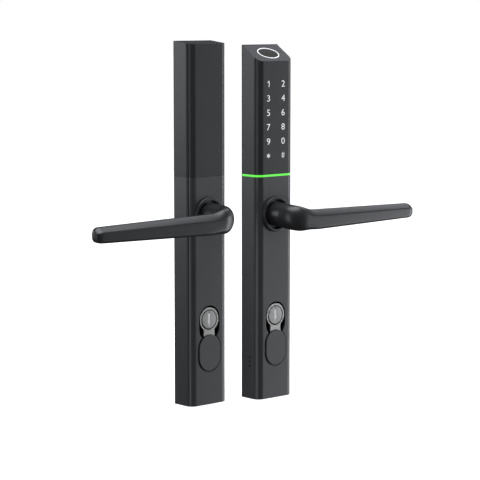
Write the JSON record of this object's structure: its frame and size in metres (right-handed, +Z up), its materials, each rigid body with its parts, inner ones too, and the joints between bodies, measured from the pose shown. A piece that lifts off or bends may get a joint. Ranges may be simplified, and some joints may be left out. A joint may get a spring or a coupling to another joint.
{
  "type": "keypad door lock handle set",
  "caption": "Slim black keypad door lock: outside half with keypad, fingerprint reader and green light ring, inside half with battery cover, each with a lever and a swinging cylinder cover.",
  "frame": {"origin": "on the outside spindle axis, at the plane of the door face that both backs rest on", "axes": "+X from the inside half towards the outside half and along the levers, +Y out of the backs into the door, +Z up"},
  "size_m": [0.3448, 0.0648, 0.299],
  "materials": {
    "black_metal": "matt black powder coat over metal",
    "lever_black": "satin black powder coat over cast metal",
    "cover_black": "fine matt black moulded plastic",
    "light_ring": "translucent light guide, lit green",
    "legend_white": "white back-lit numerals",
    "circuit_board": "green solder mask",
    "bezel_white": "lit pale ring",
    "sensor_glass": "dark coated sensor window",
    "zinc_steel": "zinc plated steel",
    "gasket_rubber": "black EPDM",
    "bright_steel": "plain steel",
    "brass": "turned brass",
    "solenoid_plastic": "wound coil in a plastic case",
    "inner_plastic": "black acetal",
    "socket_plastic": "natural nylon",
    "battery_sleeve": "printed shrink sleeve, plain",
    "nickel": "satin nickel plated brass"
  },
  "bodies": {
    "root": {"outside_housing": "black_metal", "outside_keypad_cover": "cover_black", "outside_light_ring": "light_ring", "outside_key_legends": "legend_white", "outside_keypad_board": "circuit_board", "outside_fingerprint_bezel": "bezel_white", "outside_fingerprint_sensor": "sensor_glass", "outside_back_plate": "zinc_steel", "outside_gasket": "gasket_rubber", "outside_plate_screws": "bright_steel", "outside_mounting_posts": "zinc_steel", "outside_control_board": "circuit_board", "outside_buzzer": "inner_plastic", "outside_harness_socket": "socket_plastic", "outside_rose": "black_metal", "outside_bush": "inner_plastic", "outside_return_spring": "bright_steel", "clutch_solenoid": "solenoid_plastic", "outside_cylinder_body": "nickel", "outside_cover_washer": "bright_steel", "inside_housing": "black_metal", "inside_battery_tray": "inner_plastic", "inside_batteries": "battery_sleeve", "inside_battery_contacts": "bright_steel", "inside_back_plate": "zinc_steel", "inside_gasket": "gasket_rubber", "inside_housing_screws": "bright_steel", "inside_control_board": "circuit_board", "inside_harness_socket": "socket_plastic", "inside_rose": "black_metal", "inside_bush": "inner_plastic", "inside_return_spring": "bright_steel", "inside_cylinder_body": "nickel", "inside_cover_washer": "bright_steel"},
    "outside_lever": {"outside_lever": "lever_black", "outside_lever_grub_screw": "bright_steel", "outside_lever_hub": "bright_steel"},
    "outside_spindle": {"outside_spindle": "bright_steel", "outside_spindle_collar": "bright_steel"},
    "clutch_sleeve": {"clutch_sleeve": "brass"},
    "clutch_fork": {"clutch_fork": "zinc_steel"},
    "outside_plug": {"outside_cylinder_plug": "nickel"},
    "outside_cover": {"outside_cylinder_cover": "black_metal", "outside_cover_rivet": "bright_steel"},
    "inside_lever": {"inside_lever": "lever_black", "inside_lever_grub_screw": "bright_steel", "inside_lever_hub": "bright_steel", "inside_spindle": "bright_steel", "inside_spindle_collar": "bright_steel"},
    "inside_plug": {"inside_cylinder_plug": "nickel"},
    "inside_cover": {"inside_cylinder_cover": "black_metal", "inside_cover_rivet": "bright_steel"},
    "battery_cover": {"inside_battery_cover": "cover_black"}
  },
  "joints": [
    {"name": "outside_lever_turn", "type": "hinge", "parent": "root", "child": "outside_lever", "pos_m": [0, 0, 0], "axis": [0, 1, 0], "range_deg": [0, 45], "stiffness_Nm_per_rad": 0.8, "springref_deg": -20.05},
    {"name": "outside_spindle_turn", "type": "hinge", "parent": "root", "child": "outside_spindle", "pos_m": [0, 0, 0], "axis": [0, 1, 0], "range_deg": [0, 45]},
    {"name": "clutch_engage", "type": "slide", "parent": "outside_spindle", "child": "clutch_sleeve", "axis": [0, -1, 0], "range_m": [0, 0.0018]},
    {"name": "clutch_fork_shift", "type": "slide", "parent": "root", "child": "clutch_fork", "axis": [0, -1, 0], "range_m": [0, 0.0018]},
    {"name": "outside_key_turn", "type": "hinge", "parent": "root", "child": "outside_plug", "pos_m": [0, 0, -0.085], "axis": [0, 1, 0], "continuous": true},
    {"name": "outside_cover_swing", "type": "hinge", "parent": "root", "child": "outside_cover", "pos_m": [0, 0, -0.10025], "axis": [0, 1, 0], "range_deg": [0, 180]},
    {"name": "inside_lever_turn", "type": "hinge", "parent": "root", "child": "inside_lever", "pos_m": [-0.073, 0, 0.004], "axis": [0, -1, 0], "range_deg": [0, 45], "stiffness_Nm_per_rad": 0.8, "springref_deg": -20.05},
    {"name": "inside_key_turn", "type": "hinge", "parent": "root", "child": "inside_plug", "pos_m": [-0.073, 0, -0.081], "axis": [0, 1, 0], "continuous": true},
    {"name": "inside_cover_swing", "type": "hinge", "parent": "root", "child": "inside_cover", "pos_m": [-0.073, 0, -0.09625], "axis": [0, -1, 0], "range_deg": [0, 180]},
    {"name": "battery_cover_slide", "type": "slide", "parent": "root", "child": "battery_cover", "axis": [0, 0, 1], "range_m": [0, 0.105]}
  ],
  "couplings": [
    {"joint": "clutch_fork_shift", "follows": "clutch_engage", "ratio": 1}
  ]
}
